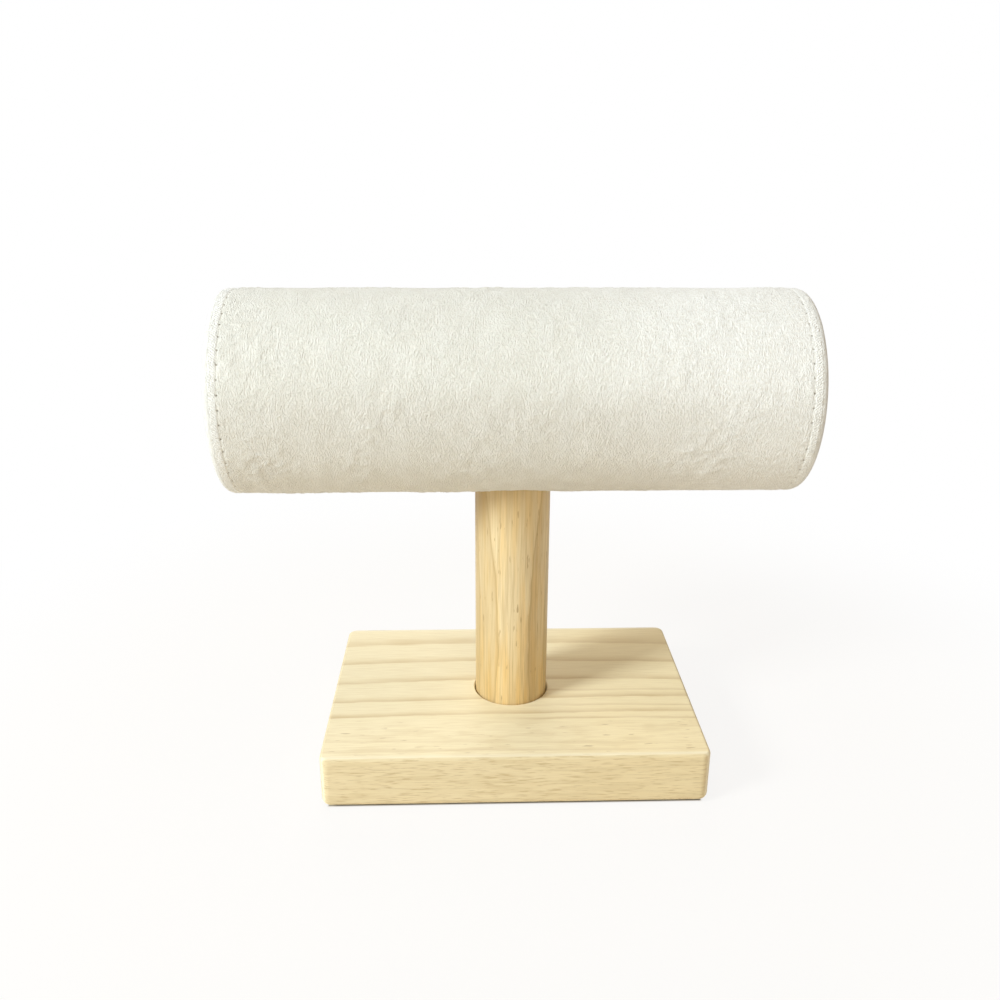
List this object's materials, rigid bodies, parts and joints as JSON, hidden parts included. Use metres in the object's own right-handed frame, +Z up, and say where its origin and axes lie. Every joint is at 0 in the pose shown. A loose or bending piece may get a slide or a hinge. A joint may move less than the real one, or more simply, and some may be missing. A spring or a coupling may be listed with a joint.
{
  "type": "bracelet display stand",
  "caption": "T-shaped tabletop stand: a padded velvet roll for bracelets plugs onto a round wooden post that turns in the socket of a flat pine board.",
  "frame": {"origin": "on the table under the middle of the post, at the level of the foot pads' undersides", "axes": "+X along the roll to the right as seen from the front, +Y away from the viewer, +Z up along the post"},
  "size_m": [0.203, 0.098, 0.178],
  "materials": {
    "board_pine": "planed and sanded, clear matt finish",
    "post_pine": "turned and sanded, clear satin finish",
    "block_wood": "raw",
    "velvet": "crushed ivory velvet",
    "sewing_thread": "twisted polyester",
    "wadding": "loose polyester wadding",
    "cardboard": "wound card",
    "felt": "pressed felt",
    "zinc": "bright zinc plate"
  },
  "bodies": {
    "base": {"base_board": "board_pine", "foot_pad_front_left": "felt", "foot_pad_front_right": "felt", "foot_pad_rear_left": "felt", "foot_pad_rear_right": "felt", "base_screw_washer": "zinc"},
    "post": {"post": "post_pine", "base_screw": "zinc"},
    "roll": {"core_tube": "cardboard", "socket_block": "block_wood", "block_screw_left": "zinc", "block_screw_right": "zinc", "padding": "wadding", "cover_sleeve": "velvet", "end_board_left": "cardboard", "end_board_right": "cardboard", "end_cover_left": "velvet", "end_cover_right": "velvet", "hem_thread_left": "sewing_thread", "hem_thread_right": "sewing_thread"}
  },
  "joints": [
    {"name": "post_swivel", "type": "hinge", "parent": "base", "child": "post", "pos_m": [0, 0, 0.021], "axis": [0, 0, 1], "continuous": true},
    {"name": "roll_lift", "type": "slide", "parent": "post", "child": "roll", "axis": [0, 0, 1], "range_m": [0, 0.05]}
  ]
}
